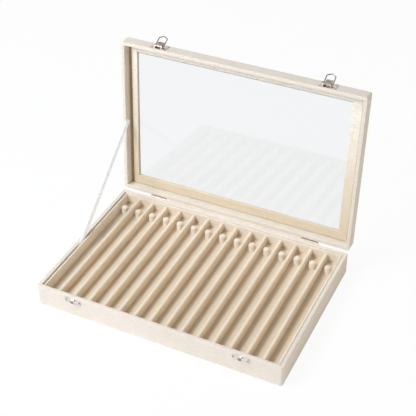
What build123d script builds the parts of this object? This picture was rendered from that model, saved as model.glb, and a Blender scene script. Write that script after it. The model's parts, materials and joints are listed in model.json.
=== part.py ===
from build123d import *
import math
import os

os.makedirs("parts", exist_ok=True)

# Necklace organizer box, in millimetres. The origin is the middle of the underside,
# +X is to the right, the front is at -Y and +Z is up. The lid stands open.

# Case and lid
WIDTH = 360.0
DEPTH = 240.0
CASE_HEIGHT = 33.0
LID_HEIGHT = 18.5
RIM_GAP = 0.4
BOARD = 5.4
CORNER_RADIUS = 3.0
FOLD_RADIUS = 1.0
BOTTOM_BOARD = 3.0

# Tray
FLOOR_TOP = 17.0
FLOOR_BOARD = 2.5
LINER = 2.6
RIBBON_SLOT = 2.8
TRAY_GAP_RIGHT = 0.3
TRAY_GAP_FRONT = 0.4
TRAY_GAP_BACK = 1.3
COMPARTMENTS = 15
DIVIDER = 5.0
DIVIDER_HEIGHT = 12.5
DIVIDER_ROUND = 2.2
RISER_WIDTH = 14.0
RISER_LENGTH = 200.0
RISER_PITCH = 100.0
RISERS = 4

# Pegs
PEG_RADIUS = 4.8
PEG_HEIGHT = 12.0
PEG_Y = 87.0
PEG_CROWN = 0.6
PEG_EDGE = 2.0

# Lid fittings
TOP_FRAME = 2.4
TOP_BORDER_X = 19.0
TOP_BORDER_Y = 19.0
GLASS = 2.0
GLASS_GAP = 0.7
RETAINER = 2.8
RETAINER_WIDTHS = {"front": 8.0, "back": 14.0, "left": 8.8, "right": 13.6}
RETAINER_GAPS = {"front": 3.0, "back": 0.6, "left": 5.0, "right": 3.0}
RETAINER_FOLD = 0.9

# Hinges
HINGE_X = 121.0
HINGE_Y = 122.1
HINGE_Z = 33.2
OPEN_ANGLE = 94.6
HINGE_WIDTH = 26.0
KNUCKLES = 5
KNUCKLE_GAP = 0.2
KNUCKLE_RADIUS = 1.4
PIN_RADIUS = 0.7
PIN_HOLE_RADIUS = 0.75
PIN_HEAD_RADIUS = 1.1
PIN_HEAD = 0.6
LEAF = 0.6
LEAF_DROP = 9.2
LEAF_SETBACK = 0.6
WEB_LAP = 1.6
WEB_NEAR_PIN = (0.84, 0.2)
WEB_OVER_PIN = (0.28, 1.33)
HINGE_SCREW_X = 8.0

# Latches, measured with the lid shut. Each "out" is a distance in front of the front face.
LATCH_X = 123.0
PLATE = 0.8
PLATE_WIDTH = 24.0
PLATE_LOW = 34.6
PLATE_HIGH = 49.4
PLATE_ROUND = 0.9
NAIL_X = 9.7
NAIL_INSET = 2.0
EAR_INSIDE = 4.85
EAR_THICK = 0.5
PIVOT_OUT = 2.9
PIVOT_Z = 37.8
PIVOT_RADIUS = 0.7
PIVOT_HOLE_RADIUS = 0.78
PIVOT_ROUND = 1.7
LEVER_HALF_WIDTH = 4.7
LEVER_SHEET = 0.6
LEVER_FRONT = 4.6
LEVER_BACK = 1.2
LEVER_CHEEK_BACK_TOP = 44.2
LEVER_CHEEK_TOP = 47.0
LEVER_CURL_START = 46.4
LEVER_CURL_MIDDLE = 48.3
LEVER_CURL_IN = 0.4
LEVER_TIP = (0.9, 49.3)
LEVER_INNER_TIP = (0.3, 49.5)
TRUNNION_PAST_EAR = 0.05
BAIL_OUT = 2.4
BAIL_Z = 42.2
BAIL_WIRE_RADIUS = 0.75
BAIL_HOLE_RADIUS = 0.83
BAIL_LEG_X = 6.4
BAIL_SHOULDER_X = 6.1
BAIL_SHOULDER = 13.0
BAIL_APEX = 16.0
BAIL_BEND = 1.6
BAIL_REST = 31.3
CATCH_Z = 26.2
CATCH_HEIGHT = 8.0
CATCH_SCREW_X = 10.0
HOOK_WIDTH = 4.6
HOOK_UNDERSIDE = 28.5
HOOK_REACH = 3.7
HOOK_LIP = 24.8

# Screws and nails
SHANK_RADIUS = 0.7
SHANK_HOLE_RADIUS = 0.8
SHANK_LENGTH = 4.0
HEAD_RADIUS = 1.5
HEAD_HEIGHT = 0.7
HEAD_ROUND = 0.55

# Stay ribbon, its middle line from the case wall to the lid rail
RIBBON_WIDTH = 10.0
RIBBON_THICK = 0.4
RIBBON_LOW = (-20.6, 23.5)
RIBBON_HIGH = (138.4, 148.3)

# Cloth strip that closes the gap at the back between the hinges
BACK_CLOTH = 0.5
BACK_CLOTH_WIDTH = 206.0
BACK_CLOTH_HOLD = 10.0
BACK_CLOTH_SETBACK = 1.7

# Places worked out from the sizes above
INNER_X = WIDTH / 2 - BOARD
INNER_Y = DEPTH / 2 - BOARD
FRONT_FACE = -DEPTH / 2
BACK_FACE = DEPTH / 2
LID_LOW = CASE_HEIGHT + RIM_GAP
LID_TOP = LID_LOW + LID_HEIGHT
TOP_FRAME_LOW = LID_TOP - TOP_FRAME
GLASS_LOW = TOP_FRAME_LOW - GLASS
RETAINER_LOW = GLASS_LOW - RETAINER
TRAY_LEFT = -INNER_X + RIBBON_SLOT
TRAY_RIGHT = INNER_X - TRAY_GAP_RIGHT
TRAY_FRONT = -INNER_Y + TRAY_GAP_FRONT
TRAY_BACK = INNER_Y - TRAY_GAP_BACK
TRAY_WIDTH = TRAY_RIGHT - TRAY_LEFT
TRAY_DEPTH = TRAY_BACK - TRAY_FRONT
TRAY_X = (TRAY_LEFT + TRAY_RIGHT) / 2
TRAY_Y = (TRAY_FRONT + TRAY_BACK) / 2
LINER_FRONT_INNER = TRAY_FRONT + LINER
LINER_BACK_INNER = TRAY_BACK - LINER
COMPARTMENT_WIDTH = (TRAY_WIDTH - 2 * LINER - (COMPARTMENTS - 1) * DIVIDER) / COMPARTMENTS
COMPARTMENT_PITCH = COMPARTMENT_WIDTH + DIVIDER
FIRST_COMPARTMENT_X = TRAY_LEFT + LINER + COMPARTMENT_WIDTH / 2
HINGE_AXIS = Axis((0, HINGE_Y, HINGE_Z), (1, 0, 0))
OUTWARD = {
    "front": Vector(0, -1, 0),
    "back": Vector(0, 1, 0),
    "left": Vector(-1, 0, 0),
    "right": Vector(1, 0, 0),
}


def save(piece, name):
    """Label a finished piece and write it as a sub-part of its own."""
    piece.label = name
    export_step(piece, f"parts/{name}.step")


def swing_open(piece):
    """Turn a piece of the lid, drawn shut, about the hinge pins to where it stands open."""
    return piece.rotate(HINGE_AXIS, -OPEN_ANGLE)


def open_point(y, z):
    """Where a point of the lid's side view, given with the lid shut, is when it stands open."""
    turn = math.radians(OPEN_ANGLE)
    back = y - HINGE_Y
    up = z - HINGE_Z
    open_y = HINGE_Y + back * math.cos(turn) + up * math.sin(turn)
    open_z = HINGE_Z - back * math.sin(turn) + up * math.cos(turn)
    return (open_y, open_z)


def mitre_planes(side, width, depth):
    """The two mitre planes that end one side of a rectangular frame, facing off its ends."""
    out = OUTWARD[side]
    planes = []
    for turn in (1, -1):
        along = Vector(-turn * out.Y, turn * out.X, 0)
        corner = Vector((out.X + along.X) * width / 2, (out.Y + along.Y) * depth / 2, 0)
        planes.append(Plane(corner, z_dir=along - out))
    return planes


def side_plane(x):
    """An upright plane across the box at x, with its own x to the back and its own y up."""
    return Plane((x, 0, 0), x_dir=(0, 1, 0), z_dir=(1, 0, 0))


def front_plane(x, y, z):
    """An upright plane that faces the front, with its own x to the right and its own y up."""
    return Plane((x, y, z), x_dir=(1, 0, 0), z_dir=(0, -1, 0))


def back_plane(x, y, z):
    """An upright plane that faces the back, with its own y up."""
    return Plane((x, y, z), x_dir=(-1, 0, 0), z_dir=(0, 1, 0))


def wrapped_board(side, low, high, rim_up):
    """One mitred board of the case or the lid, with soft folds along its open edges."""
    with BuildPart() as board:
        with BuildSketch(Plane.XY.offset(low)):
            RectangleRounded(WIDTH, DEPTH, CORNER_RADIUS)
            Rectangle(2 * INNER_X, 2 * INNER_Y, mode=Mode.SUBTRACT)
        extrude(amount=high - low)
        if rim_up:
            folds = board.faces().sort_by(Axis.Z)[-1].edges()
            folds += board.faces().sort_by(Axis.Z)[0].outer_wire().edges()
        else:
            folds = board.faces().sort_by(Axis.Z)[0].edges()
        fillet(folds, FOLD_RADIUS)
        for plane in mitre_planes(side, WIDTH, DEPTH):
            split(bisect_by=plane, keep=Keep.BOTTOM)
    return board.part


def screw(plane):
    """A domed head on the given plane, and a shank that runs back from it."""
    with BuildPart() as one_screw:
        with BuildSketch(plane):
            Circle(HEAD_RADIUS)
        extrude(amount=HEAD_HEIGHT)
        top = one_screw.faces().sort_by(Axis(plane.origin, plane.z_dir))[-1]
        fillet(top.edges(), HEAD_ROUND)
        with BuildSketch(plane):
            Circle(SHANK_RADIUS)
        extrude(amount=-SHANK_LENGTH)
    return one_screw.part


# Case walls, mitred at the corners
for side in OUTWARD:
    save(wrapped_board(side, 0, CASE_HEIGHT, rim_up=True), f"{side}_wall")

with BuildPart() as bottom_board:
    with BuildSketch():
        Rectangle(2 * INNER_X, 2 * INNER_Y)
    extrude(amount=BOTTOM_BOARD)
save(bottom_board.part, "bottom_board")

# Battens that carry the tray above the bottom board
with BuildPart() as tray_risers:
    with BuildSketch(Plane.XY.offset(BOTTOM_BOARD)):
        with Locations((TRAY_X, TRAY_Y)):
            with GridLocations(RISER_PITCH, 0, RISERS, 1):
                Rectangle(RISER_WIDTH, RISER_LENGTH)
    extrude(amount=FLOOR_TOP - FLOOR_BOARD - BOTTOM_BOARD)
save(tray_risers.part, "tray_risers")

with BuildPart() as tray_floor:
    with BuildSketch(Plane.XY.offset(FLOOR_TOP - FLOOR_BOARD)):
        with Locations((TRAY_X, TRAY_Y)):
            Rectangle(TRAY_WIDTH, TRAY_DEPTH)
    extrude(amount=FLOOR_BOARD)
save(tray_floor.part, "tray_floor")

# Liners that stand on the tray floor, the front one only as high as the dividers
liners = {
    "left": (TRAY_LEFT + LINER / 2, TRAY_Y, LINER, TRAY_DEPTH, CASE_HEIGHT),
    "right": (TRAY_RIGHT - LINER / 2, TRAY_Y, LINER, TRAY_DEPTH, CASE_HEIGHT),
    "back": (TRAY_X, TRAY_BACK - LINER / 2, TRAY_WIDTH - 2 * LINER, LINER, CASE_HEIGHT),
    "front": (TRAY_X, TRAY_FRONT + LINER / 2, TRAY_WIDTH - 2 * LINER, LINER, FLOOR_TOP + DIVIDER_HEIGHT),
}
for side, (x, y, size_x, size_y, top) in liners.items():
    with BuildPart() as tray_liner:
        with BuildSketch(Plane.XY.offset(FLOOR_TOP)):
            with Locations((x, y)):
                Rectangle(size_x, size_y)
        extrude(amount=top - FLOOR_TOP)
        long_way = Axis.X if size_x > size_y else Axis.Y
        top_edges = tray_liner.faces().sort_by(Axis.Z)[-1].edges().filter_by(long_way)
        fillet(top_edges, FOLD_RADIUS)
    save(tray_liner.part, f"tray_liner_{side}")

# Padded dividers between the compartments
for number in range(1, COMPARTMENTS):
    divider_x = FIRST_COMPARTMENT_X + (number - 0.5) * COMPARTMENT_PITCH
    with BuildPart() as divider:
        with BuildSketch(front_plane(divider_x, LINER_BACK_INNER, FLOOR_TOP)) as section:
            Rectangle(DIVIDER, DIVIDER_HEIGHT, align=(Align.CENTER, Align.MIN))
            fillet(section.vertices().group_by(Axis.Z)[-1], DIVIDER_ROUND)
        extrude(amount=LINER_BACK_INNER - LINER_FRONT_INNER)
    save(divider.part, f"divider_{number:02d}")

# One wrapped peg near the back of each compartment, with a crowned top
for number in range(1, COMPARTMENTS + 1):
    peg_x = FIRST_COMPARTMENT_X + (number - 1) * COMPARTMENT_PITCH
    shoulder = PEG_HEIGHT - PEG_CROWN - PEG_EDGE
    with BuildPart() as necklace_peg:
        with BuildSketch(front_plane(peg_x, PEG_Y, FLOOR_TOP)):
            with BuildLine():
                Polyline((0, PEG_HEIGHT), (0, 0), (PEG_RADIUS, 0), (PEG_RADIUS, shoulder))
                top_edge = (PEG_RADIUS - PEG_EDGE, shoulder + PEG_EDGE)
                TangentArc((PEG_RADIUS, shoulder), top_edge, tangent=(0, 1))
                Line(top_edge, (0, PEG_HEIGHT))
            make_face()
        revolve(axis=Axis((peg_x, PEG_Y, 0), (0, 0, 1)))
    save(necklace_peg.part, f"necklace_peg_{number:02d}")

# Lid rails, top frame, glass and the strips that hold the glass in
for side in OUTWARD:
    save(swing_open(wrapped_board(side, LID_LOW, TOP_FRAME_LOW, rim_up=False)), f"lid_{side}_rail")

with BuildPart() as lid_top_frame:
    with BuildSketch(Plane.XY.offset(TOP_FRAME_LOW)):
        RectangleRounded(WIDTH, DEPTH, CORNER_RADIUS)
        Rectangle(WIDTH - 2 * TOP_BORDER_X, DEPTH - 2 * TOP_BORDER_Y, mode=Mode.SUBTRACT)
    extrude(amount=TOP_FRAME)
    fillet(lid_top_frame.faces().sort_by(Axis.Z)[-1].edges(), FOLD_RADIUS)
save(swing_open(lid_top_frame.part), "lid_top_frame")

with BuildPart() as glass_pane:
    with BuildSketch(Plane.XY.offset(GLASS_LOW)):
        Rectangle(2 * (INNER_X - GLASS_GAP), 2 * (INNER_Y - GLASS_GAP))
    extrude(amount=GLASS)
save(swing_open(glass_pane.part), "glass_pane")

strips = []
wide = RETAINER_WIDTHS
gaps = RETAINER_GAPS
strip_x = 2 * INNER_X - gaps["left"] - gaps["right"]
strip_y = 2 * INNER_Y - gaps["front"] - gaps["back"]
to_middle = Pos((gaps["left"] - gaps["right"]) / 2, (gaps["front"] - gaps["back"]) / 2)
view_x = strip_x - wide["left"] - wide["right"]
view_y = strip_y - wide["front"] - wide["back"]
for side in OUTWARD:
    with BuildPart() as retainer_strip:
        with BuildSketch(Plane.XY.offset(RETAINER_LOW)):
            Rectangle(strip_x, strip_y)
            with Locations(((wide["left"] - wide["right"]) / 2, (wide["front"] - wide["back"]) / 2)):
                Rectangle(view_x, view_y, mode=Mode.SUBTRACT)
        extrude(amount=RETAINER)
        fillet(retainer_strip.faces().sort_by(Axis.Z)[0].edges(), RETAINER_FOLD)
        for plane in mitre_planes(side, strip_x, strip_y):
            split(bisect_by=plane, keep=Keep.BOTTOM)
    strips.append(swing_open(to_middle * retainer_strip.part))
save(Compound(children=strips), "glass_retainers")


def knuckle_spans(first, step):
    """Start and length along X of every second knuckle of a hinge, from the given one."""
    pitch = HINGE_WIDTH / KNUCKLES
    spans = []
    for place in range(first, KNUCKLES, step):
        spans.append((place * pitch - HINGE_WIDTH / 2 + KNUCKLE_GAP / 2, pitch - KNUCKLE_GAP))
    return spans


def hinge_leaf(x, first_knuckle, upward):
    """A leaf on the back face with its own knuckles, below the pin line or above it."""
    near = HINGE_Z + upward * LEAF_SETBACK
    far = HINGE_Z + upward * LEAF_DROP
    with BuildPart() as leaf:
        with BuildSketch(back_plane(x, BACK_FACE, (near + far) / 2)) as plate:
            Rectangle(HINGE_WIDTH, LEAF_DROP - LEAF_SETBACK)
            fillet(plate.vertices().filter_by(lambda v: abs(v.Z - far) < KNUCKLE_GAP), PLATE_ROUND)
            with GridLocations(2 * HINGE_SCREW_X, 0, 2, 1):
                Circle(SHANK_HOLE_RADIUS, mode=Mode.SUBTRACT)
        extrude(amount=LEAF)
        for start, length in knuckle_spans(first_knuckle, 2):
            with BuildSketch(side_plane(x + start)):
                with Locations((HINGE_Y, HINGE_Z)):
                    Circle(KNUCKLE_RADIUS)
                with BuildLine():
                    Polyline(
                        (BACK_FACE, near + upward * WEB_LAP),
                        (BACK_FACE, near),
                        (HINGE_Y - WEB_NEAR_PIN[0], HINGE_Z + upward * WEB_NEAR_PIN[1]),
                        (HINGE_Y - WEB_OVER_PIN[0], HINGE_Z + upward * WEB_OVER_PIN[1]),
                        (BACK_FACE + LEAF, near + upward * WEB_LAP),
                        close=True,
                    )
                make_face()
                with Locations((HINGE_Y, HINGE_Z)):
                    Circle(PIN_HOLE_RADIUS, mode=Mode.SUBTRACT)
            extrude(amount=length)
    return leaf.part


# Butt hinges: three knuckles on the case and two between them on the lid
case_leaves = []
lid_leaves = []
pins = []
case_fasteners = []
lid_fasteners = []
leaf_middle = (LEAF_DROP + LEAF_SETBACK) / 2
for x in (-HINGE_X, HINGE_X):
    case_leaves.append(hinge_leaf(x, 0, -1))
    lid_leaves.append(swing_open(hinge_leaf(x, 1, 1)))
    with BuildPart() as pin:
        with BuildSketch(side_plane(x - HINGE_WIDTH / 2)):
            with Locations((HINGE_Y, HINGE_Z)):
                Circle(PIN_RADIUS)
        extrude(amount=HINGE_WIDTH)
        for end, way in ((x - HINGE_WIDTH / 2, -1), (x + HINGE_WIDTH / 2, 1)):
            with BuildSketch(side_plane(end)):
                with Locations((HINGE_Y, HINGE_Z)):
                    Circle(PIN_HEAD_RADIUS)
            extrude(amount=way * PIN_HEAD)
    pins.append(pin.part)
    for screw_x in (x - HINGE_SCREW_X, x + HINGE_SCREW_X):
        case_fasteners.append(screw(back_plane(screw_x, BACK_FACE + LEAF, HINGE_Z - leaf_middle)))
        lid_screw = screw(back_plane(screw_x, BACK_FACE + LEAF, HINGE_Z + leaf_middle))
        lid_fasteners.append(swing_open(lid_screw))
save(Compound(children=case_leaves), "hinge_leaves_case")
save(Compound(children=pins), "hinge_pins")
save(Compound(children=lid_leaves), "hinge_leaves_lid")


def out_from_front(out, z):
    """A point of a side view, given by its distance in front of the front face."""
    return (FRONT_FACE - out, z)


def latch_plate(x):
    """The plate nailed to the lid, with two ears that carry the lever."""
    middle = (PLATE_LOW + PLATE_HIGH) / 2
    with BuildPart() as plate:
        with BuildSketch(front_plane(x, FRONT_FACE, middle)) as outline:
            Rectangle(PLATE_WIDTH, PLATE_HIGH - PLATE_LOW)
            fillet(outline.vertices(), PLATE_ROUND)
            with GridLocations(2 * NAIL_X, PLATE_HIGH - PLATE_LOW - 2 * NAIL_INSET, 2, 2):
                Circle(SHANK_HOLE_RADIUS, mode=Mode.SUBTRACT)
        extrude(amount=PLATE)
        for start in (x - EAR_INSIDE - EAR_THICK, x + EAR_INSIDE):
            with BuildSketch(side_plane(start)):
                with Locations(out_from_front(PIVOT_OUT / 2, PIVOT_Z)):
                    Rectangle(PIVOT_OUT, 2 * PIVOT_ROUND)
                with Locations(out_from_front(PIVOT_OUT, PIVOT_Z)):
                    Circle(PIVOT_ROUND)
                    Circle(PIVOT_HOLE_RADIUS, mode=Mode.SUBTRACT)
            extrude(amount=EAR_THICK)
    return plate.part


def latch_lever(x):
    """A folded channel with a curled thumb end, which turns on two trunnions in the ears."""
    with BuildPart() as lever:
        with BuildSketch(side_plane(x - LEVER_HALF_WIDTH)):
            with Locations(out_from_front(PIVOT_OUT, PIVOT_Z)):
                Circle(PIVOT_ROUND)
            with BuildLine():
                Polyline(
                    out_from_front(LEVER_BACK, PIVOT_Z),
                    out_from_front(LEVER_FRONT, PIVOT_Z),
                    out_from_front(LEVER_FRONT, LEVER_CHEEK_TOP),
                    out_from_front(LEVER_FRONT - LEVER_SHEET, LEVER_CHEEK_TOP),
                    out_from_front(LEVER_BACK, LEVER_CHEEK_BACK_TOP),
                    close=True,
                )
            make_face()
        extrude(amount=2 * LEVER_HALF_WIDTH)
        with BuildSketch(side_plane(x - LEVER_HALF_WIDTH + LEVER_SHEET)):
            with BuildLine():
                Polyline(
                    out_from_front(0, PIVOT_Z - 2 * PIVOT_ROUND),
                    out_from_front(LEVER_FRONT - LEVER_SHEET, PIVOT_Z - 2 * PIVOT_ROUND),
                    out_from_front(LEVER_FRONT - LEVER_SHEET, PLATE_HIGH),
                    out_from_front(0, PLATE_HIGH),
                    close=True,
                )
            make_face()
        extrude(amount=2 * (LEVER_HALF_WIDTH - LEVER_SHEET), mode=Mode.SUBTRACT)
        with BuildSketch(side_plane(x - LEVER_HALF_WIDTH)):
            with BuildLine():
                tip = out_from_front(LEVER_FRONT + LEVER_TIP[0], LEVER_TIP[1])
                inner_tip = out_from_front(LEVER_FRONT + LEVER_INNER_TIP[0], LEVER_INNER_TIP[1])
                outer_start = out_from_front(LEVER_FRONT, LEVER_CURL_START)
                inner_start = out_from_front(LEVER_FRONT - LEVER_SHEET, LEVER_CURL_START)
                cheek_top = out_from_front(LEVER_FRONT, LEVER_CHEEK_TOP)
                Line(outer_start, cheek_top)
                TangentArc(cheek_top, tip, tangent=(0, 1))
                Line(tip, inner_tip)
                inner_middle = out_from_front(LEVER_FRONT - LEVER_CURL_IN, LEVER_CURL_MIDDLE)
                ThreePointArc(inner_tip, inner_middle, inner_start)
                Line(inner_start, outer_start)
            make_face()
        extrude(amount=2 * LEVER_HALF_WIDTH)
        for start, way in ((x - LEVER_HALF_WIDTH, -1), (x + LEVER_HALF_WIDTH, 1)):
            with BuildSketch(side_plane(start)):
                with Locations(out_from_front(PIVOT_OUT, PIVOT_Z)):
                    Circle(PIVOT_RADIUS)
            trunnion = EAR_INSIDE + EAR_THICK + TRUNNION_PAST_EAR - LEVER_HALF_WIDTH
            extrude(amount=way * trunnion)
        with BuildSketch(side_plane(x)):
            with Locations(out_from_front(BAIL_OUT, BAIL_Z)):
                Circle(BAIL_HOLE_RADIUS)
        extrude(amount=LEVER_HALF_WIDTH + LEVER_SHEET, both=True, mode=Mode.SUBTRACT)
    return lever.part


def bail_point(x, along):
    """A point of the bail where it rests, at a distance from its pivot."""
    lean = math.radians(BAIL_REST)
    return (x, FRONT_FACE - BAIL_OUT - along * math.sin(lean), BAIL_Z + along * math.cos(lean))


def latch_bail(x):
    """A wire loop with a pointed end, whose turned-in feet sit in the lever's holes."""
    foot_x = LEVER_HALF_WIDTH - 2 * LEVER_SHEET
    route = [
        bail_point(x - foot_x, 0),
        bail_point(x - BAIL_LEG_X, 0),
        bail_point(x - BAIL_SHOULDER_X, BAIL_SHOULDER),
        bail_point(x, BAIL_APEX),
        bail_point(x + BAIL_SHOULDER_X, BAIL_SHOULDER),
        bail_point(x + BAIL_LEG_X, 0),
        bail_point(x + foot_x, 0),
    ]
    with BuildPart() as bail:
        with BuildLine():
            FilletPolyline(*route, radius=BAIL_BEND)
        with BuildSketch(Plane(route[0], z_dir=(-1, 0, 0))):
            Circle(BAIL_WIRE_RADIUS)
        sweep()
    return bail.part


def catch_plate(x):
    """The plate screwed to the case, with a hook that the bail pulls up against."""
    with BuildPart() as catch:
        with BuildSketch(front_plane(x, FRONT_FACE, CATCH_Z)) as outline:
            Rectangle(PLATE_WIDTH, CATCH_HEIGHT)
            fillet(outline.vertices(), PLATE_ROUND)
            with GridLocations(2 * CATCH_SCREW_X, 0, 2, 1):
                Circle(SHANK_HOLE_RADIUS, mode=Mode.SUBTRACT)
        extrude(amount=PLATE)
        with BuildSketch(side_plane(x - HOOK_WIDTH / 2)):
            with BuildLine():
                Polyline(
                    out_from_front(PLATE / 2, HOOK_UNDERSIDE),
                    out_from_front(HOOK_REACH - PLATE, HOOK_UNDERSIDE),
                    out_from_front(HOOK_REACH - PLATE, HOOK_LIP),
                    out_from_front(HOOK_REACH, HOOK_LIP),
                    out_from_front(HOOK_REACH, HOOK_UNDERSIDE),
                )
                TangentArc(
                    out_from_front(HOOK_REACH, HOOK_UNDERSIDE),
                    out_from_front(HOOK_REACH - PLATE, HOOK_UNDERSIDE + PLATE),
                    tangent=(0, 1),
                )
                Polyline(
                    out_from_front(HOOK_REACH - PLATE, HOOK_UNDERSIDE + PLATE),
                    out_from_front(PLATE / 2, HOOK_UNDERSIDE + PLATE),
                    out_from_front(PLATE / 2, HOOK_UNDERSIDE),
                )
            make_face()
        extrude(amount=HOOK_WIDTH)
    return catch.part


# Toggle latches on the lid and the catches below them
plates = []
catches = []
for side, x in (("left", -LATCH_X), ("right", LATCH_X)):
    plates.append(swing_open(latch_plate(x)))
    save(swing_open(latch_lever(x)), f"latch_lever_{side}")
    save(swing_open(latch_bail(x)), f"latch_bail_{side}")
    catches.append(catch_plate(x))
    for screw_x in (x - CATCH_SCREW_X, x + CATCH_SCREW_X):
        case_fasteners.append(screw(front_plane(screw_x, FRONT_FACE - PLATE, CATCH_Z)))
    for nail_x in (x - NAIL_X, x + NAIL_X):
        for nail_z in (PLATE_LOW + NAIL_INSET, PLATE_HIGH - NAIL_INSET):
            nail = screw(front_plane(nail_x, FRONT_FACE - PLATE, nail_z))
            lid_fasteners.append(swing_open(nail))
save(Compound(children=plates), "latch_plates")
save(Compound(children=catches), "catch_plates")
save(Compound(children=case_fasteners), "case_screws")
save(Compound(children=lid_fasteners), "lid_screws")

# Stay ribbon from the case wall to the lid rail, straight and taut when the lid is open
rise = RIBBON_HIGH[1] - RIBBON_LOW[1]
run = RIBBON_HIGH[0] - RIBBON_LOW[0]
ribbon_length = math.hypot(rise, run)
ribbon_middle = ((RIBBON_LOW[0] + RIBBON_HIGH[0]) / 2, (RIBBON_LOW[1] + RIBBON_HIGH[1]) / 2)
with BuildPart() as stay_ribbon:
    with BuildSketch(side_plane(-INNER_X)):
        with Locations(Location((*ribbon_middle, 0), (0, 0, math.degrees(math.atan2(rise, run))))):
            Rectangle(ribbon_length, RIBBON_WIDTH)
    extrude(amount=RIBBON_THICK)
save(stay_ribbon.part, "stay_ribbon")

# Cloth strip glued to the back of the case and of the lid, taut across the gap when open
leave = BACK_CLOTH_SETBACK
glued = BACK_CLOTH_SETBACK + BACK_CLOTH_HOLD
with BuildPart() as back_cloth:
    with BuildSketch(side_plane(-BACK_CLOTH_WIDTH / 2)):
        with BuildLine():
            Polyline(
                (BACK_FACE, HINGE_Z - glued),
                (BACK_FACE, HINGE_Z - leave),
                open_point(BACK_FACE, HINGE_Z + leave),
                open_point(BACK_FACE, HINGE_Z + glued),
            )
            offset(amount=BACK_CLOTH, side=Side.RIGHT)
        make_face()
    extrude(amount=BACK_CLOTH_WIDTH)
save(back_cloth.part, "back_cloth")
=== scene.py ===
import json
import math

import bmesh
import bpy
from mathutils import Matrix, Vector, noise

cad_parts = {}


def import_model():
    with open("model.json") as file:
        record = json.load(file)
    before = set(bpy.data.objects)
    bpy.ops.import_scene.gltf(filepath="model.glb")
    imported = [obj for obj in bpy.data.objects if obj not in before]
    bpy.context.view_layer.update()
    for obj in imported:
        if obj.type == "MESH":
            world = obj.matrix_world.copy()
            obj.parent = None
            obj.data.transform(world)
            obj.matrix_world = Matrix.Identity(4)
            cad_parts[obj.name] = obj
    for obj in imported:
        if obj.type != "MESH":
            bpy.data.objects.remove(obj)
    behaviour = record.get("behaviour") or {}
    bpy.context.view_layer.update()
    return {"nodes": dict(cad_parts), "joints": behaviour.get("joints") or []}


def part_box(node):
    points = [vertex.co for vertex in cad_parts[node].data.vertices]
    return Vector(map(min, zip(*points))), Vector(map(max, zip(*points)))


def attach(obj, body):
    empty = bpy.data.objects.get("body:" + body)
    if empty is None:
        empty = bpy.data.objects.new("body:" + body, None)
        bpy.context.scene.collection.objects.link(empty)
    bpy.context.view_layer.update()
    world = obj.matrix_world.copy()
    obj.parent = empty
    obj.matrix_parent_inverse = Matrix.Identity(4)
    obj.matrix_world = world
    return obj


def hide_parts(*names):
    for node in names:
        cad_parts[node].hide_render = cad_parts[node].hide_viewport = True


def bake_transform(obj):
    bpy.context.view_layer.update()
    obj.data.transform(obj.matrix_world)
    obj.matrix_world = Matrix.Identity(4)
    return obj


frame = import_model()
nodes = frame["nodes"]
MM = 0.001

# The view of the photograph
CAMERA_AT = Vector((471.05, -908.63, 937.51)) * MM
CAMERA_AZIMUTH = math.radians(26.32)
CAMERA_ELEVATION = math.radians(37.96)
CAMERA_ROLL = math.radians(-0.92)
CAMERA_LENS = 85.66
CAMERA_REACH = 50.0
SENSOR = 36.0

# The box as it stands, with its lid open
lid_joint = next(j for j in frame["joints"] if j["name"] == "lid_hinge")
HINGE = Vector(lid_joint["pos_m"])
LID_ANGLE = math.radians(lid_joint["range_deg"][1])
COMPARTMENTS = 15

# Padded dividers: levels are shares of the height, waves are per metre, seeds set noise apart
DIVIDER_ROUND = 2.2 * MM
DIVIDER_ROUND_STEPS = 6
DIVIDER_SLICES = 44
DIVIDER_LEVELS = (0.35, 0.7)
DIVIDER_WAVER, DIVIDER_WAVES = 0.14 * MM, 60
DIVIDER_CREASE, DIVIDER_CREASES = 0.05 * MM, 450
DIVIDER_SAG, DIVIDER_SAG_STRETCH = 0.1 * MM, 1.7
DIVIDER_SEED = 7.3
DIVIDER_SHARP = 40

# Wrapped pegs: the waver is a share of the radius
PEG_EDGE = 2.0 * MM
PEG_CROWN = 0.6 * MM
PEG_FOOT_IN, PEG_FOOT_HEIGHT = 0.15 * MM, 0.8 * MM
PEG_MIDDLE = 0.5
PEG_FOLD_STEPS = 9
PEG_SEAM = ((0.05, 0.66), (0.25, 0.7), (0.6, 0.42))  # in from the fold and down, in millimetres
PEG_DOME, PEG_DOME_DROP = 0.4, 0.1 * MM
PEG_SIDES = 40
PEG_JOIN = 0.01 * MM
PEG_WAVER, PEG_WAVES = 0.02, 260
PEG_SEED, PEG_NOISE_ROW = 3.1, 5.0
SOFT_SHARP = 50

# Stay ribbon: places as Y and Z
RIBBON_ENDS = ((-20.6 * MM, 23.5 * MM), (138.4 * MM, 148.3 * MM))
RIBBON_WIDTH = 10 * MM
RIBBON_THICK = 0.4 * MM
RIBBON_GRID = (96, 6)
RIB_PITCH = 0.5 * MM
RIB_DEPTH, RIB_LEVEL = 0.15, 0.25

# Cloth strip over the gap at the back
CLOTH_WIDTH = 214 * MM
CLOTH_THICK = 0.5 * MM
CLOTH_HOLD = 10 * MM
CLOTH_SETBACK = 1.7 * MM
CLOTH_GRID = (160, 26)
CLOTH_SLACK, CLOTH_WAVES, CLOTH_NOISE_ROW = 0.12 * MM, 40, 2.0
BACK_FACE = 120 * MM

# Board strip in the groove of the lid, a darker sheet that stands for the groove's shade:
# painted shade; places with the lid shut
GROOVE_LOW = Vector((-174.5, -114.5, 47.2)) * MM
GROOVE_HIGH = Vector((-169.7, 114.5, 47.45)) * MM

# Stretches over which painted light and shade change a colour, as heights with the lid open, and
# as Y for the catches
PEG_SPAN = (18.0 * MM, 27.0 * MM)
DIVIDER_SPAN = (18.0 * MM, 28.0 * MM)
RETAINER_SPAN = (50 * MM, 262 * MM)
HINGE_SPAN = (33.2 * MM, 35.0 * MM)
CATCH_SPAN = (-123.6 * MM, -121.0 * MM)

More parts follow.
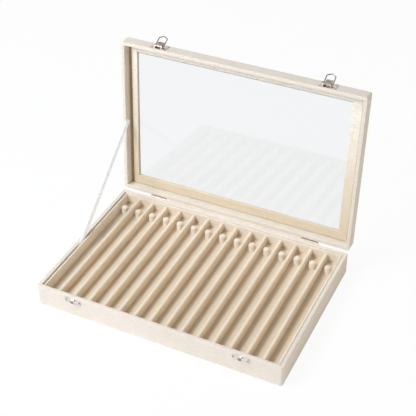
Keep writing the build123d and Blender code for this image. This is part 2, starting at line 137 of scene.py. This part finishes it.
# Weave: stretches are shares along each axis, scales are waves per metre
YARN_STRETCHES = ((1.0, 0.12, 1.0), (0.12, 1.0, 0.6))
YARN_SCALE, YARN_DETAIL = 900.0, 2.0
TONE_SCALE, TONE_DETAIL, TONE_SHADE = 22.0, 3.0, 0.5
# How far the weave's hollows are mixed toward the shade colour: painted shade.
WEAVE_LEVEL, WEAVE_SHADE = 0.6, 0.16
WEAVE_HEIGHT, SLUB_HEIGHT = 0.5, 0.8
WEAVE_RELIEF = 0.15 * MM
SMOOTH_WEAVE = {"pitch": 0.4 * MM, "slub": 0.35, "relief": 0.15, "sheen": 0.4}
PEG_WEAVE = {"pitch": 0.4 * MM, "slub": 0.3, "relief": 0.2}

# Board, nickel and glass
GRAIN_STRETCH = (0.06, 1.0, 1.0)
GRAIN_SCALE, GRAIN_DETAIL = 320.0, 4.0
CLOUD_SCALE, CLOUD_DETAIL = 260.0, 3.0
SCRATCH_STRETCH = (1.0, 0.08, 0.08)
SCRATCH_SCALE, SCRATCH_DETAIL, SCRATCH_ROUGH = 5000.0, 2.0, 0.14
NICKEL_BUMP, NICKEL_RELIEF = 0.12, 0.05 * MM
RIPPLE_SCALE, RIPPLE_DETAIL = 9.0, 1.0
RIPPLE_BUMP, RIPPLE_RELIEF = 0.05, 0.02 * MM

# Studio: lamps as name, place, size, watts, colour, and whether glass and metal mirror them
FLOOR_SIZE = 6.0
FLOOR_DROP = 0.02 * MM
FLOOR_GLOW = 0.93
HORIZON_LIGHT, ZENITH_LIGHT = 0.91, 0.04
KEY = (0.95, 1.0, 1.06)
FILL = (1.3, 1.0, 0.4)
LAMP_AIM = (0, 0, 0.05)
LAMPS = (
    ("key softbox", (-1.0, -1.2, 1.6), 0.8, 26.0, KEY, True),
    ("high softbox", (-1.0, -0.6, 1.9), 0.8, 15.0, KEY, True),
    ("warm fill", (1.5, 0.2, 0.7), 1.0, 2.3, FILL, False),
)

# Sockets of a colour Mix node, which share their names with those for numbers and vectors
MIX_FACTOR, MIX_FIRST, MIX_SECOND, MIX_RESULT = 0, 6, 7, 2


def srgb(red, green, blue):
    """A colour written as 0 to 255 steps, as the linear values that a shader takes."""
    linear = []
    for step in (red, green, blue):
        part = step / 255
        linear.append(part / 12.92 if part <= 0.04045 else ((part + 0.055) / 1.055) ** 2.4)
    return (*linear, 1.0)


LINEN = srgb(240, 229, 217)
# The darker linen tone. The weave's hollows are mixed toward it as painted shade; thick yarns
# and the random tone use it as the cloth's own colour.
LINEN_SHADE = srgb(208, 192, 170)
# The case linen a few steps darker, for the lid: painted shade.
SHADED_LID_LINEN = srgb(234, 225, 212)
LINING = srgb(241, 229, 211)
# Divider cloth: darker and warmer at the foot, painted shade, and lighter at the top, painted
# light.
DIVIDER_FOOT_SHADE = srgb(236, 211, 176)
DIVIDER_TOP_LIGHT = srgb(240, 226, 206)
TRAY_LINING = srgb(232, 215, 191)
# Peg cloth: a darker top, painted shade, and a near-white foot, painted light where shade falls
# round the foot.
PEG_LINEN = srgb(237, 224, 208)
PEG_FOOT_LIGHT = srgb(252, 246, 236)
# Retainer cloth: its own yellowish cream low down, rising to near white at the top, painted
# light where the rail's shadow falls.
RETAINER_LOW_LINEN = srgb(229, 211, 183)
RETAINER_HIGH_LIGHT = srgb(252, 246, 236)
RIBBON_WHITE = srgb(236, 240, 247)
RIBBON_RIB = srgb(222, 227, 236)
# A darker copy of the raw board, for the strip in the groove: painted shade.
GROOVE_SHADE_BOARD = srgb(186, 160, 124)
GROOVE_SHADE_GRAIN = srgb(158, 130, 94)
BOARD = srgb(205, 180, 148)
BOARD_GRAIN = srgb(176, 148, 116)
CATCH_NICKEL = srgb(238, 230, 228)
CATCH_NICKEL_DULL = srgb(214, 205, 203)
# Dark nickel for the outer part of the catch hooks: painted shade of the hook.
HOOK_SHADE_NICKEL = srgb(150, 141, 138)
# Latch plates: nickel darker than on the catches, painted shade that dims their glint.
SHADED_PLATE_NICKEL = srgb(226, 215, 208)
SHADED_PLATE_NICKEL_DULL = srgb(196, 184, 176)
# Levers: nickel darker than on the catches, painted shade.
LEVER_SHADE_NICKEL = srgb(200, 190, 183)
LEVER_SHADE_NICKEL_DULL = srgb(150, 139, 131)
# Bails: darker nickel.
DARK_NICKEL = srgb(150, 142, 135)
DARK_NICKEL_DULL = srgb(104, 95, 88)
# Hinges: dark nickel above, painted shadow under the lid, and pale nickel low down, painted
# light.
HINGE_SHADOW_NICKEL = srgb(150, 134, 120)
HINGE_SHADOW_NICKEL_DULL = srgb(118, 103, 90)
HINGE_LOW_LIGHT = srgb(232, 220, 206)
SCREW_NICKEL = srgb(190, 180, 178)
SCREW_NICKEL_DULL = srgb(150, 140, 138)
GLASS = srgb(244, 246, 247)
RIBBON_GLOW = (0.82, 0.88, 0.98, 1.0)
LAMP_THROUGH_GLASS = (0.6, 0.6, 0.6, 1.0)
PALE_FLOOR = (0.92, 0.92, 0.92, 1.0)
WHITE = (1.0, 1.0, 1.0, 1.0)
AMBIENT = (0.985, 1.0, 1.02, 1.0)


def new_group(name, inputs, outputs):
    """An empty shader group with the named sockets, and its two end nodes."""
    group = bpy.data.node_groups.new(name, "ShaderNodeTree")
    for label, kind, value in inputs:
        socket = group.interface.new_socket(label, in_out="INPUT", socket_type=kind)
        if value is not None:
            socket.default_value = value
    for label, kind in outputs:
        group.interface.new_socket(label, in_out="OUTPUT", socket_type=kind)
    start = group.nodes.new("NodeGroupInput")
    end = group.nodes.new("NodeGroupOutput")
    return group, start, end


def feed(tree, socket, value):
    """Link a socket to another one, or give it a plain value."""
    if isinstance(value, bpy.types.NodeSocket):
        tree.links.new(value, socket)
    else:
        socket.default_value = value


def set_inputs(node, values):
    """Plain values for the named inputs of a node."""
    for label, value in values.items():
        node.inputs[label].default_value = value


def maths(tree, operation, first, second=None):
    """A Math node whose inputs are sockets or plain numbers, as its output socket."""
    node = tree.nodes.new("ShaderNodeMath")
    node.operation = operation
    feed(tree, node.inputs[0], first)
    if second is not None:
        feed(tree, node.inputs[1], second)
    return node.outputs[0]


def mixed(tree, factor, first, second):
    """A colour Mix node whose inputs are sockets or plain values, as its output socket."""
    node = tree.nodes.new("ShaderNodeMix")
    node.data_type = "RGBA"
    feed(tree, node.inputs[MIX_FACTOR], factor)
    feed(tree, node.inputs[MIX_FIRST], first)
    feed(tree, node.inputs[MIX_SECOND], second)
    return node.outputs[MIX_RESULT]


def noise_value(tree, vector, scale, detail):
    """A noise texture of that scale, as its value socket."""
    node = tree.nodes.new("ShaderNodeTexNoise")
    set_inputs(node, {"Scale": scale, "Detail": detail})
    tree.links.new(vector, node.inputs["Vector"])
    return node.outputs["Fac"]


def mapped(tree, vector, setting, value):
    """The vector stretched or turned, by the Scale or Rotation of a Mapping node."""
    node = tree.nodes.new("ShaderNodeMapping")
    node.inputs[setting].default_value = value
    tree.links.new(vector, node.inputs["Vector"])
    return node.outputs[0]


def parts_of(tree, vector):
    """The X, Y and Z of a vector, as sockets with those names."""
    node = tree.nodes.new("ShaderNodeSeparateXYZ")
    tree.links.new(vector, node.inputs[0])
    return node.outputs


def clamped(tree, value):
    """The value kept between 0 and 1."""
    node = tree.nodes.new("ShaderNodeClamp")
    tree.links.new(value, node.inputs["Value"])
    return node.outputs[0]


def bump(tree, shader, height, strength, distance):
    """Relief on a shader, from a height socket."""
    node = tree.nodes.new("ShaderNodeBump")
    set_inputs(node, {"Strength": strength, "Distance": distance})
    tree.links.new(height, node.inputs["Height"])
    tree.links.new(node.outputs[0], shader.inputs["Normal"])


def mix_shaders(tree, factor, first, second):
    """Show the first shader at a factor of 0 and the second at 1."""
    node = tree.nodes.new("ShaderNodeMixShader")
    for place, value in enumerate((factor, first.outputs[0], second.outputs[0])):
        tree.links.new(value, node.inputs[place])
    tree.links.new(node.outputs[0], tree.nodes["Material Output"].inputs["Surface"])


def seen(tree):
    """1 for what the camera sees directly, in a mirror or through glass, and 0 for light."""
    path = tree.nodes.new("ShaderNodeLightPath").outputs
    mirrored = maths(tree, "MAXIMUM", path["Is Camera Ray"], path["Is Glossy Ray"])
    return maths(tree, "MAXIMUM", mirrored, path["Is Transmission Ray"])


def weave_group():
    """Plain-woven cloth: threads both ways with painted shade in their hollows, thick and thin
    yarns, and a soft change of tone.
    """
    group, start, end = new_group(
        "Woven cloth",
        [
            ("Vector", "NodeSocketVector", None),
            ("Thread Pitch", "NodeSocketFloat", 0.0005),
            ("Color", "NodeSocketColor", LINEN),
            ("Shade", "NodeSocketColor", LINEN_SHADE),
            ("Slub", "NodeSocketFloat", 0.5),
        ],
        [("Color", "NodeSocketColor"), ("Height", "NodeSocketFloat")],
    )
    place = start.outputs["Vector"]
    turns = maths(group, "DIVIDE", 2 * math.pi, start.outputs["Thread Pitch"])
    waves = []
    for axis in parts_of(group, place):
        waves.append(maths(group, "SINE", maths(group, "MULTIPLY", axis, turns)))
    pairs = [maths(group, "MULTIPLY", waves[n], waves[(n + 1) % 3]) for n in range(3)]
    weave = maths(group, "ADD", maths(group, "ADD", pairs[0], pairs[1]), pairs[2])
    yarns = []
    for stretch in YARN_STRETCHES:
        yarn = mapped(group, place, "Scale", stretch)
        yarns.append(noise_value(group, yarn, YARN_SCALE, YARN_DETAIL))
    slub = maths(group, "SUBTRACT", maths(group, "ADD", *yarns), 1.0)
    tone = maths(group, "SUBTRACT", noise_value(group, place, TONE_SCALE, TONE_DETAIL), 0.5)
    # Painted shade in the hollows between threads.
    hollow_shade = maths(group, "MULTIPLY", maths(group, "SUBTRACT", WEAVE_LEVEL, weave), WEAVE_SHADE)
    factor = maths(group, "ADD", hollow_shade, maths(group, "MULTIPLY", slub, start.outputs["Slub"]))
    factor = maths(group, "ADD", factor, maths(group, "MULTIPLY", tone, TONE_SHADE))
    plain, shade = start.outputs["Color"], start.outputs["Shade"]
    group.links.new(mixed(group, clamped(group, factor), plain, shade), end.inputs["Color"])
    threads = maths(group, "MULTIPLY", weave, WEAVE_HEIGHT)
    yarn_height = maths(group, "MULTIPLY", slub, SLUB_HEIGHT)
    group.links.new(maths(group, "ADD", threads, yarn_height), end.inputs["Height"])
    return group


WEAVE = weave_group()


def new_material(name):
    """A material with its node tree and its Principled shader."""
    material = bpy.data.materials.new(name)
    material.use_nodes = True
    tree = material.node_tree
    return material, tree, tree.nodes["Principled BSDF"]


def object_place(tree):
    """The place on the object, as a vector socket."""
    return tree.nodes.new("ShaderNodeTexCoord").outputs["Object"]


def rising_color(tree, place, first, last, low, high, axis="Z"):
    """A colour that changes evenly from the first to the last between two places on an axis."""
    along = parts_of(tree, place)[axis]
    lift = maths(tree, "DIVIDE", maths(tree, "SUBTRACT", along, low), high - low)
    return mixed(tree, clamped(tree, lift), first, last)


def cloth_material(
    name,
    color,
    turn=0.0,
    pitch=0.55 * MM,
    slub=1.1,
    relief=0.35,
    sheen=0.25,
    top=None,
    span=None,
):
    """Cloth over a board, its threads turned about X, in one colour or one that rises to top,
    which paints light and shade.
    """
    material, tree, shader = new_material(name)
    place = object_place(tree)
    cloth = tree.nodes.new("ShaderNodeGroup")
    cloth.node_tree = WEAVE
    set_inputs(
        cloth, {"Thread Pitch": pitch, "Color": color, "Shade": LINEN_SHADE, "Slub": slub}
    )
    turned = mapped(tree, place, "Rotation", (turn, 0.0, 0.0))
    tree.links.new(turned, cloth.inputs["Vector"])
    # A colour that rises to top paints light and shade onto the cloth.
    if top is not None:
        tree.links.new(rising_color(tree, place, color, top, *span), cloth.inputs["Color"])
    tree.links.new(cloth.outputs["Color"], shader.inputs["Base Color"])
    bump(tree, shader, cloth.outputs["Height"], relief, WEAVE_RELIEF)
    set_inputs(
        shader,
        {
            "Roughness": 0.85,
            "Specular IOR Level": 0.2,
            "Sheen Weight": sheen,
            "Sheen Roughness": 0.5,
        },
    )
    return material


def board_material(name, plain, dark):
    """Raw board with a fine grain along its length."""
    material, tree, shader = new_material(name)
    place = object_place(tree)
    along = mapped(tree, place, "Scale", GRAIN_STRETCH)
    grain = noise_value(tree, along, GRAIN_SCALE, GRAIN_DETAIL)
    tree.links.new(mixed(tree, grain, plain, dark), shader.inputs["Base Color"])
    set_inputs(shader, {"Roughness": 0.75})
    return material


def nickel_material(name, bright, dull, matte=0.16, outer=None, span=None, axis="Y"):
    """Nickel-plated steel, dull and scratched, with another colour before a span if asked, which
    paints light and shade.
    """
    material, tree, shader = new_material(name)
    place = object_place(tree)
    cloud = noise_value(tree, place, CLOUD_SCALE, CLOUD_DETAIL)
    color = mixed(tree, cloud, bright, dull)
    # The outer colour paints shade on the catch hooks and light on the hinges' lower part.
    if outer is not None:
        color = rising_color(tree, place, outer, color, *span, axis=axis)
    tree.links.new(color, shader.inputs["Base Color"])
    scratches = mapped(tree, place, "Scale", SCRATCH_STRETCH)
    fine = noise_value(tree, scratches, SCRATCH_SCALE, SCRATCH_DETAIL)
    rough = maths(tree, "ADD", maths(tree, "MULTIPLY", fine, SCRATCH_ROUGH), matte)
    tree.links.new(rough, shader.inputs["Roughness"])
    bump(tree, shader, cloud, NICKEL_BUMP, NICKEL_RELIEF)
    set_inputs(shader, {"Metallic": 1.0})
    return material


def glass_material():
    """Float glass, faintly uneven, which lets part of the lamps' light straight through."""
    material, tree, shader = new_material("float glass")
    ripple = noise_value(tree, object_place(tree), RIPPLE_SCALE, RIPPLE_DETAIL)
    bump(tree, shader, ripple, RIPPLE_BUMP, RIPPLE_RELIEF)
    set_inputs(
        shader, {"Base Color": GLASS, "Roughness": 0.0, "IOR": 1.5, "Transmission Weight": 1.0}
    )
    clear = tree.nodes.new("ShaderNodeBsdfTransparent")
    set_inputs(clear, {"Color": LAMP_THROUGH_GLASS})
    path = tree.nodes.new("ShaderNodeLightPath")
    mix_shaders(tree, path.outputs["Is Shadow Ray"], shader, clear)
    return material


def ribbon_material(turn):
    """Satin ribbon with fine ribs across it, which glows faintly as with light through it."""
    material, tree, shader = new_material("satin ribbon")
    turned = mapped(tree, object_place(tree), "Rotation", (turn, 0.0, 0.0))
    along = parts_of(tree, turned)["Y"]
    ribs = maths(tree, "SINE", maths(tree, "MULTIPLY", along, 2 * math.pi / RIB_PITCH))
    factor = maths(tree, "ADD", maths(tree, "MULTIPLY", ribs, RIB_DEPTH), RIB_LEVEL)
    color = mixed(tree, factor, RIBBON_WHITE, RIBBON_RIB)
    tree.links.new(color, shader.inputs["Base Color"])
    set_inputs(
        shader,
        {
            "Roughness": 0.6,
            "Sheen Weight": 0.3,
            "Emission Color": RIBBON_GLOW,
            "Emission Strength": 0.28,
        },
    )
    return material


def pale_material(name, share):
    """A pale floor that stays near white to the eye and keeps a faint shadow."""
    material, tree, shader = new_material(name)
    set_inputs(shader, {"Base Color": PALE_FLOOR, "Roughness": 0.9, "Specular IOR Level": 0.0})
    glow = tree.nodes.new("ShaderNodeEmission")
    set_inputs(glow, {"Color": WHITE, "Strength": 1.0})
    mix_shaders(tree, maths(tree, "MULTIPLY", seen(tree), share), shader, glow)
    return material


def dress(names, material):
    """Give these CAD nodes one material."""
    for name in names:
        slots = nodes[name].data.materials
        slots.clear()
        slots.append(material)


case_linen = cloth_material("case linen", LINEN)
# The lid's linen is painted a little darker: painted shade.
lid_linen = cloth_material("lid linen", SHADED_LID_LINEN, turn=-LID_ANGLE)
lining = cloth_material("side lining", LINING, **SMOOTH_WEAVE)
# Painted shade at the dividers' foot and painted light at their top.
divider_lining = cloth_material(
    "divider lining", DIVIDER_FOOT_SHADE, top=DIVIDER_TOP_LIGHT, span=DIVIDER_SPAN, **SMOOTH_WEAVE
)
tray_lining = cloth_material("tray lining", TRAY_LINING, **SMOOTH_WEAVE)
# Painted light at the pegs' foot and painted shade at their top.
peg_linen = cloth_material("peg cloth", PEG_FOOT_LIGHT, top=PEG_LINEN, span=PEG_SPAN, **PEG_WEAVE)
# Painted light toward the top of the retainers.
retainer_linen = cloth_material(
    "retainer cloth",
    RETAINER_LOW_LINEN,
    turn=-LID_ANGLE,
    top=RETAINER_HIGH_LIGHT,
    span=RETAINER_SPAN,
)
board = board_material("raw board", BOARD, BOARD_GRAIN)
# The groove board's darker colour is painted shade.
groove_shade_board = board_material("groove board", GROOVE_SHADE_BOARD, GROOVE_SHADE_GRAIN)
# Painted shade on the outer part of the catch hooks.
catch_nickel = nickel_material(
    "catch nickel", CATCH_NICKEL, CATCH_NICKEL_DULL, outer=HOOK_SHADE_NICKEL, span=CATCH_SPAN
)
# Painted shade on the latch plates.
plate_nickel = nickel_material("latch plate nickel", SHADED_PLATE_NICKEL, SHADED_PLATE_NICKEL_DULL)
# Painted shade on the levers.
lever_shade_nickel = nickel_material("lever shade nickel", LEVER_SHADE_NICKEL, LEVER_SHADE_NICKEL_DULL)
# Darker nickel for the bails.
dark_nickel = nickel_material("dark bail nickel", DARK_NICKEL, DARK_NICKEL_DULL)
# Painted shadow on the hinges' upper part and painted light on their lower part.
hinge_nickel = nickel_material(
    "hinge nickel",
    HINGE_SHADOW_NICKEL,
    HINGE_SHADOW_NICKEL_DULL,
    matte=0.4,
    outer=HINGE_LOW_LIGHT,
    span=HINGE_SPAN,
    axis="Z",
)
screw_nickel = nickel_material("screw nickel", SCREW_NICKEL, SCREW_NICKEL_DULL, matte=0.3)
glass = glass_material()

dress(["front_wall", "back_wall", "left_wall", "right_wall"], case_linen)
dress(["lid_front_rail", "lid_back_rail", "lid_left_rail", "lid_right_rail"], lid_linen)
dress(["lid_top_frame"], lid_linen)
dress(["glass_retainers"], retainer_linen)
dress(["tray_liner_front", "tray_liner_back", "tray_liner_left", "tray_liner_right"], lining)
dress(["tray_floor"], tray_lining)
dress(["bottom_board", "tray_risers"], board)
dress(["glass_pane"], glass)
dress(["catch_plates"], catch_nickel)
dress(["latch_plates"], plate_nickel)
dress(["latch_lever_left", "latch_lever_right"], lever_shade_nickel)
dress(["latch_bail_left", "latch_bail_right"], dark_nickel)
dress(["case_screws", "lid_screws"], screw_nickel)
dress(["hinge_leaves_case", "hinge_leaves_lid", "hinge_pins"], hinge_nickel)


def new_object(name, mesh_maker, material):
    """An object at the origin from a finished bmesh, with its material."""
    mesh = bpy.data.meshes.new(name)
    mesh_maker.to_mesh(mesh)
    mesh_maker.free()
    thing = bpy.data.objects.new(name, mesh)
    bpy.context.scene.collection.objects.link(thing)
    mesh.materials.append(material)
    return thing


def new_piece(name, mesh_maker, material):
    """A piece of the box from a finished bmesh, with its material."""
    piece = new_object(name, mesh_maker, material)
    return piece


def smooth_by_angle(piece, degrees):
    """Smooth shading that keeps edges sharper than this angle."""
    piece.data.shade_smooth()
    piece.data.set_sharp_from_angle(angle=math.radians(degrees))


def block(low, high):
    """A bmesh of a plain block between two corners."""
    maker = bmesh.new()
    bmesh.ops.create_cube(maker, size=1.0)
    bmesh.ops.scale(maker, vec=high - low, verts=maker.verts)
    bmesh.ops.translate(maker, vec=(low + high) / 2, verts=maker.verts)
    return maker


def unit_sheet(columns, rows):
    """A bmesh of a flat grid from -0.5 to 0.5 both ways."""
    maker = bmesh.new()
    bmesh.ops.create_grid(maker, x_segments=columns, y_segments=rows, size=0.5)
    return maker


def cut_across(maker, place, normal):
    """New edges where a plane meets the mesh."""
    everything = maker.verts[:] + maker.edges[:] + maker.faces[:]
    bmesh.ops.bisect_plane(maker, geom=everything, plane_co=place, plane_no=normal)


def thicken(maker, thickness):
    """Give a sheet its thickness, and turn its faces outward."""
    bmesh.ops.solidify(maker, geom=maker.faces[:], thickness=thickness)
    bmesh.ops.recalc_face_normals(maker, faces=maker.faces)


def divider(number):
    """A padded divider: a long bar with a soft round top that wavers a little."""
    node = f"divider_{number:02d}"
    low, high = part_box(node)
    size = high - low
    maker = block(low, high)
    top_edges = []
    for edge in maker.edges:
        first, last = edge.verts
        at_top = min(first.co.z, last.co.z) > low.z + size.z / 2
        if at_top and abs(first.co.y - last.co.y) > size.y / 2:
            top_edges.append(edge)
    bmesh.ops.bevel(
        maker,
        geom=top_edges,
        offset=DIVIDER_ROUND,
        affect="EDGES",
        segments=DIVIDER_ROUND_STEPS,
        profile=0.5,
        material=-1,
    )
    for cut in range(1, DIVIDER_SLICES):
        cut_across(maker, Vector((0, low.y + size.y * cut / DIVIDER_SLICES, 0)), (0, 1, 0))
    for height in DIVIDER_LEVELS:
        cut_across(maker, Vector((0, 0, low.z + size.z * height)), (0, 0, 1))
    seed = Vector((number * DIVIDER_SEED, 0, 0))
    for vert in maker.verts:
        lift = (vert.co.z - low.z) / size.z
        along = Vector((0, vert.co.y * DIVIDER_WAVES, 0)) + seed
        side = DIVIDER_WAVER * noise.noise(along) * lift
        crease = DIVIDER_CREASE * noise.noise(vert.co * DIVIDER_CREASES + seed) * lift
        vert.co.x += side + crease
        vert.co.z -= DIVIDER_SAG * lift * abs(noise.noise(along * DIVIDER_SAG_STRETCH))
    piece = new_piece(f"padded_{node}", maker, divider_lining)
    smooth_by_angle(piece, DIVIDER_SHARP)
    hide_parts(node)
    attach(piece, "case")


def peg_outline(radius, height):
    """Half of a peg's section, from its foot over the folded edge and the seam to its middle."""
    rim = radius - PEG_EDGE
    shoulder = height - PEG_CROWN - PEG_EDGE
    outline = [(radius - PEG_FOOT_IN, 0.0), (radius, PEG_FOOT_HEIGHT)]
    outline += [(radius, height * PEG_MIDDLE), (radius, shoulder)]
    for step in range(1, PEG_FOLD_STEPS):
        turn = step * math.pi / (2 * PEG_FOLD_STEPS)
        outline.append((rim + PEG_EDGE * math.cos(turn), shoulder + PEG_EDGE * math.sin(turn)))
    outline += [(rim - inward * MM, height - down * MM) for inward, down in PEG_SEAM]
    outline += [(rim * PEG_DOME, height - PEG_DOME_DROP), (0.0, height)]
    return outline


def peg(number):
    """A wrapped peg: cloth round its side, folded over the top edge round a covered disc."""
    node = f"necklace_peg_{number:02d}"
    low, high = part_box(node)
    middle = (low + high) / 2
    height = high.z - low.z
    outline = peg_outline((high.x - low.x) / 2, height)
    maker = bmesh.new()
    verts = [maker.verts.new((middle.x + r, middle.y, low.z + z)) for r, z in outline]
    edges = [maker.edges.new(pair) for pair in zip(verts, verts[1:])]
    bmesh.ops.spin(
        maker,
        geom=verts + edges,
        cent=(middle.x, middle.y, 0),
        axis=(0, 0, 1),
        angle=2 * math.pi,
        steps=PEG_SIDES,
        use_merge=True,
    )
    bmesh.ops.remove_doubles(maker, verts=maker.verts, dist=PEG_JOIN)
    bmesh.ops.holes_fill(maker, edges=[e for e in maker.edges if e.is_boundary], sides=0)
    bmesh.ops.recalc_face_normals(maker, faces=maker.faces)
    seed = Vector((number * PEG_SEED, PEG_NOISE_ROW, 0))
    for vert in maker.verts:
        out = Vector((vert.co.x - middle.x, vert.co.y - middle.y, 0))
        lift = (vert.co.z - low.z) / height
        vert.co += out * PEG_WAVER * noise.noise(vert.co * PEG_WAVES + seed) * lift
    piece = new_piece(f"wrapped_{node}", maker, peg_linen)
    smooth_by_angle(piece, SOFT_SHARP)
    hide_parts(node)
    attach(piece, "case")


def stay_ribbon():
    """The ribbon that holds the lid, taut from the case wall to the lid rail."""
    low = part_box("stay_ribbon")[0]
    start, end = (Vector((low.x, *point)) for point in RIBBON_ENDS)
    along = end - start
    across = Vector((0, -along.z, along.y)).normalized()
    maker = unit_sheet(*RIBBON_GRID)
    for vert in maker.verts:
        run, width = vert.co.x + 0.5, vert.co.y
        vert.co = start + along * run + across * width * RIBBON_WIDTH
    bmesh.ops.recalc_face_normals(maker, faces=maker.faces)
    if maker.faces[:][0].normal.x < 0:
        bmesh.ops.reverse_faces(maker, faces=maker.faces)
    thicken(maker, -RIBBON_THICK)
    turn = -math.atan2(along.z, along.y)
    piece = new_piece("satin_stay_ribbon", maker, ribbon_material(turn))
    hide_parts("stay_ribbon")
    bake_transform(piece)


def open_point(y, z):
    """A point of the shut lid's side view, where it is with the lid standing open."""
    back, up = y - HINGE.y, z - HINGE.z
    open_y = HINGE.y + back * math.cos(LID_ANGLE) + up * math.sin(LID_ANGLE)
    open_z = HINGE.z - back * math.sin(LID_ANGLE) + up * math.cos(LID_ANGLE)
    return Vector((0, open_y, open_z))


def back_cloth():
    """The strip of cloth that closes the gap at the back, creased where it leaves each board."""
    outer = BACK_FACE + CLOTH_THICK / 2
    glued = CLOTH_SETBACK + CLOTH_HOLD
    case_end, case_edge = (Vector((0, outer, HINGE.z - down)) for down in (glued, CLOTH_SETBACK))
    lid_edge, lid_end = (open_point(outer, HINGE.z + up) for up in (CLOTH_SETBACK, glued))
    corners = [case_end, case_edge, lid_edge, lid_end]
    runs = [(b - a).length for a, b in zip(corners, corners[1:])]
    length = sum(runs)
    maker = unit_sheet(*CLOTH_GRID)
    for vert in maker.verts:
        across, along = vert.co.x, (vert.co.y + 0.5) * length
        place = 0
        while place < 2 and along > runs[place]:
            along -= runs[place]
            place += 1
        point = corners[place].lerp(corners[place + 1], min(along / runs[place], 1.0))
        vert.co = Vector((across * CLOTH_WIDTH, point.y, point.z))
        if place == 1:
            slack = math.sin(math.pi * along / runs[1])
            wave = noise.noise(Vector((across * CLOTH_WAVES, CLOTH_NOISE_ROW, 0)))
            vert.co.z += CLOTH_SLACK * slack * wave
    bmesh.ops.recalc_face_normals(maker, faces=maker.faces)
    thicken(maker, CLOTH_THICK)
    for vert in maker.verts:
        vert.co.y = max(vert.co.y, BACK_FACE)
    piece = new_piece("back_cloth_strip", maker, case_linen)
    smooth_by_angle(piece, SOFT_SHARP)
    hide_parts("back_cloth")
    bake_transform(piece)


def groove_bottom():
    """A darker board strip in the groove beside the left retainer, just inside the glass:
    painted shade for the groove.
    """
    maker = block(GROOVE_LOW, GROOVE_HIGH)
    for vert in maker.verts:
        vert.co = Vector((vert.co.x, 0, 0)) + open_point(vert.co.y, vert.co.z)
    piece = new_piece("groove_shade_board", maker, groove_shade_board)
    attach(piece, "lid")


def floor():
    """A wide plain floor under the box."""
    maker = bmesh.new()
    bmesh.ops.create_grid(maker, x_segments=1, y_segments=1, size=FLOOR_SIZE)
    bmesh.ops.translate(maker, vec=(0, 0, -FLOOR_DROP), verts=maker.verts)
    plane = new_object("floor", maker, pale_material("pale floor", FLOOR_GLOW))


def area_light(name, place, size, power, color, mirrored):
    """A square softbox aimed at the box, which glass and metal may be kept from mirroring."""
    data = bpy.data.lights.new(name, "AREA")
    data.shape = "SQUARE"
    data.size = size
    data.energy = power
    data.color = color
    lamp = bpy.data.objects.new(name, data)
    bpy.context.scene.collection.objects.link(lamp)
    lamp.location = place
    lamp.visible_glossy = mirrored
    lamp.visible_transmission = mirrored
    facing = Vector(LAMP_AIM) - Vector(place)
    lamp.rotation_euler = facing.to_track_quat("-Z", "Y").to_euler()


def world(horizon, zenith):
    """A white studio: white to the eye, and as a light a level that falls overhead."""
    sky = bpy.data.worlds.new("studio")
    bpy.context.scene.world = sky
    sky.use_nodes = True
    tree = sky.node_tree
    background = tree.nodes["Background"]
    to_eye = seen(tree)
    tree.links.new(mixed(tree, to_eye, AMBIENT, WHITE), background.inputs["Color"])
    direction = tree.nodes.new("ShaderNodeTexCoord").outputs["Generated"]
    height = maths(tree, "MAXIMUM", parts_of(tree, direction)["Z"], 0.0)
    level = maths(tree, "ADD", maths(tree, "MULTIPLY", height, zenith - horizon), horizon)
    tree.links.new(maths(tree, "MAXIMUM", to_eye, level), background.inputs["Strength"])


def camera():
    """The camera where the photograph was taken from."""
    azimuth, elevation = CAMERA_AZIMUTH, CAMERA_ELEVATION
    look = Vector(
        (
            -math.sin(azimuth) * math.cos(elevation),
            math.cos(azimuth) * math.cos(elevation),
            -math.sin(elevation),
        )
    )
    right = Vector((math.cos(azimuth), math.sin(azimuth), 0))
    up = right.cross(look)
    turned_right = math.cos(CAMERA_ROLL) * right + math.sin(CAMERA_ROLL) * up
    turned_up = -math.sin(CAMERA_ROLL) * right + math.cos(CAMERA_ROLL) * up
    data = bpy.data.cameras.new("camera")
    data.lens = CAMERA_LENS
    data.sensor_width = SENSOR
    data.clip_end = CAMERA_REACH
    eye = bpy.data.objects.new("camera", data)
    bpy.context.scene.collection.objects.link(eye)
    turn = Matrix((turned_right, turned_up, -look)).transposed().to_4x4()
    eye.matrix_world = Matrix.Translation(CAMERA_AT) @ turn
    bpy.context.scene.camera = eye


for number in range(1, COMPARTMENTS):
    divider(number)
for number in range(1, COMPARTMENTS + 1):
    peg(number)
stay_ribbon()
back_cloth()
groove_bottom()

floor()
world(HORIZON_LIGHT, ZENITH_LIGHT)
for lamp in LAMPS:
    area_light(*lamp)
camera()
bpy.context.scene.view_settings.view_transform = "Standard"
